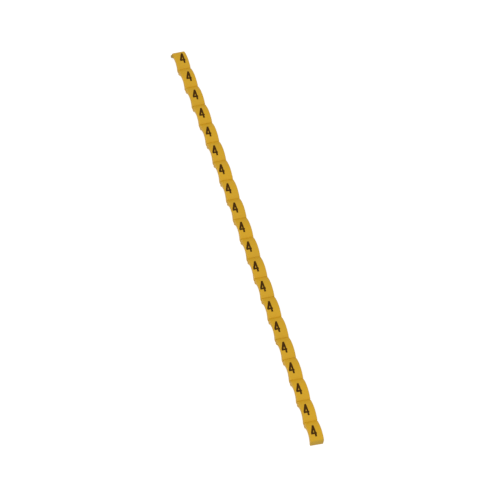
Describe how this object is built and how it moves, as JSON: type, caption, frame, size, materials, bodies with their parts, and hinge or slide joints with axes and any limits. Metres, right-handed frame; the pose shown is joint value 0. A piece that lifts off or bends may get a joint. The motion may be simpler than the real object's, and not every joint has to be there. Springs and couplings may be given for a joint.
{
  "type": "cable marker strip",
  "caption": "Break-off strip of arched clip-on cable markers, each with a printed figure on its face and two legs under it.",
  "frame": {"origin": "bottom centre of the strip's box, on the plane of the leg tips", "axes": "+Y along the strip towards the top of each figure, +X along the cable that a marker is clipped to, +Z out of the printed faces"},
  "size_m": [0.0046, 0.1193, 0.0023],
  "materials": {
    "marker_plastic": "moulded golden yellow plastic, satin",
    "print_ink": "black pad-printed ink"
  },
  "bodies": {
    "root": {"marker_strip": "marker_plastic"}
  },
  "joints": []
}
